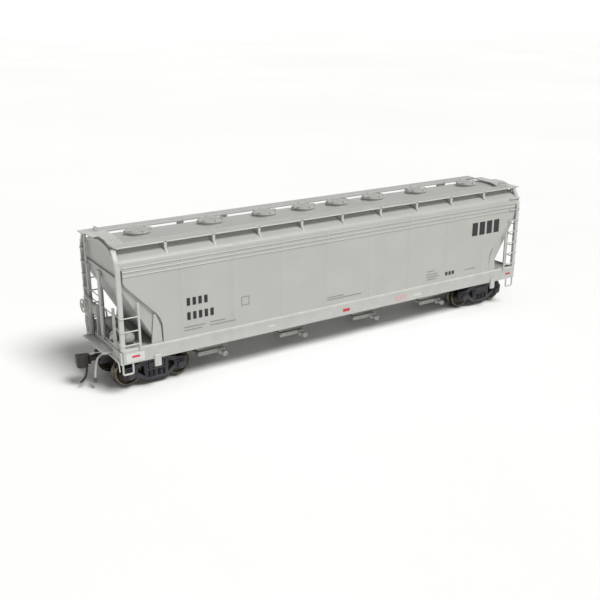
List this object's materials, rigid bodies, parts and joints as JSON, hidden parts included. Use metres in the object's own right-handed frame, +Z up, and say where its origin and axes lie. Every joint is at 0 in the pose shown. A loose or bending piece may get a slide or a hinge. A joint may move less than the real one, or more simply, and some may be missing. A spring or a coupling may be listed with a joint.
{
  "type": "model hopper car",
  "caption": "HO scale covered hopper railway car with round roof hatches, running boards, ladders, swivelling trucks, spinning wheelsets and sprung knuckle couplers.",
  "frame": {"origin": "middle of the car, at the height of the lowest points of the wheel flanges", "axes": "+X along the car away from the hand brake end, +Y across it, +Z up"},
  "size_m": [0.2192, 0.0384, 0.0584],
  "materials": {
    "body_grey": "satin",
    "etched_grey": "satin",
    "truck_black": "matte",
    "wheel_metal": "blackened",
    "coupler_black": "blackened",
    "steel": "satin"
  },
  "bodies": {
    "car": {"body_shell": "body_grey", "roof_hatch_1": "body_grey", "roof_hatch_2": "body_grey", "roof_hatch_3": "body_grey", "roof_hatch_4": "body_grey", "roof_hatch_5": "body_grey", "roof_hatch_6": "body_grey", "roof_hatch_7": "body_grey", "roof_hatch_8": "body_grey", "running_board_near": "etched_grey", "running_board_far": "etched_grey", "crosswalk_left": "etched_grey", "crosswalk_right": "etched_grey", "short_ladder_left": "body_grey", "short_ladder_right": "body_grey", "tall_ladder_left": "body_grey", "tall_ladder_right": "body_grey", "side_sill_near": "body_grey", "side_sill_far": "body_grey", "centre_sill": "body_grey", "end_sill_left": "body_grey", "end_sill_right": "body_grey", "hopper_bay_1": "body_grey", "hopper_bay_2": "body_grey", "hopper_bay_3": "body_grey", "hopper_bay_4": "body_grey", "outlet_gate_1": "body_grey", "outlet_gate_2": "body_grey", "outlet_gate_3": "body_grey", "outlet_gate_4": "body_grey", "steel_weight": "steel", "stirrup_left_near": "body_grey", "stirrup_left_far": "body_grey", "stirrup_right_near": "body_grey", "stirrup_right_far": "body_grey", "brake_wheel": "body_grey", "brake_housing": "body_grey", "air_reservoir": "body_grey", "brake_cylinder": "body_grey", "control_valve": "body_grey", "air_hose_left": "body_grey", "air_hose_right": "body_grey", "kingpin_screw_left": "steel", "kingpin_screw_right": "steel", "draft_box_left": "truck_black", "draft_box_right": "truck_black"},
    "truck_left": {"truck_bolster_left": "truck_black", "sideframe_left_near": "truck_black", "sideframe_left_far": "truck_black"},
    "truck_right": {"truck_bolster_right": "truck_black", "sideframe_right_near": "truck_black", "sideframe_right_far": "truck_black"},
    "wheels_left_a": {"wheelset_left_a": "wheel_metal"},
    "wheels_left_b": {"wheelset_left_b": "wheel_metal"},
    "wheels_right_a": {"wheelset_right_a": "wheel_metal"},
    "wheels_right_b": {"wheelset_right_b": "wheel_metal"},
    "coupler_body_left": {"coupler_left": "coupler_black"},
    "coupler_body_right": {"coupler_right": "coupler_black"},
    "knuckle_body_left": {"knuckle_left": "coupler_black"},
    "knuckle_body_right": {"knuckle_right": "coupler_black"}
  },
  "joints": [
    {"name": "truck_swivel_left", "type": "hinge", "parent": "car", "child": "truck_left", "pos_m": [-0.083, 0, 0.0059], "axis": [0, 0, 1], "range_deg": [-11, 11]},
    {"name": "truck_swivel_right", "type": "hinge", "parent": "car", "child": "truck_right", "pos_m": [0.083, 0, 0.0059], "axis": [0, 0, 1], "range_deg": [-11, 11]},
    {"name": "wheel_spin_left_a", "type": "hinge", "parent": "truck_left", "child": "wheels_left_a", "pos_m": [-0.0932, 0, 0.0059], "axis": [0, 1, 0], "continuous": true},
    {"name": "wheel_spin_left_b", "type": "hinge", "parent": "truck_left", "child": "wheels_left_b", "pos_m": [-0.0728, 0, 0.0059], "axis": [0, 1, 0], "continuous": true},
    {"name": "wheel_spin_right_a", "type": "hinge", "parent": "truck_right", "child": "wheels_right_a", "pos_m": [0.0728, 0, 0.0059], "axis": [0, 1, 0], "continuous": true},
    {"name": "wheel_spin_right_b", "type": "hinge", "parent": "truck_right", "child": "wheels_right_b", "pos_m": [0.0932, 0, 0.0059], "axis": [0, 1, 0], "continuous": true},
    {"name": "coupler_swing_left", "type": "hinge", "parent": "car", "child": "coupler_body_left", "pos_m": [-0.094, 0, 0.01055], "axis": [0, 0, 1], "range_deg": [-10, 10], "stiffness_Nm_per_rad": 0.0005},
    {"name": "coupler_swing_right", "type": "hinge", "parent": "car", "child": "coupler_body_right", "pos_m": [0.094, 0, 0.01055], "axis": [0, 0, 1], "range_deg": [-10, 10], "stiffness_Nm_per_rad": 0.0005},
    {"name": "knuckle_open_left", "type": "hinge", "parent": "coupler_body_left", "child": "knuckle_body_left", "pos_m": [-0.1063, -0.0019, 0.01055], "axis": [0, 0, 1], "range_deg": [0, 22], "stiffness_Nm_per_rad": 0.0002},
    {"name": "knuckle_open_right", "type": "hinge", "parent": "coupler_body_right", "child": "knuckle_body_right", "pos_m": [0.1063, 0.0019, 0.01055], "axis": [0, 0, 1], "range_deg": [0, 22], "stiffness_Nm_per_rad": 0.0002}
  ]
}
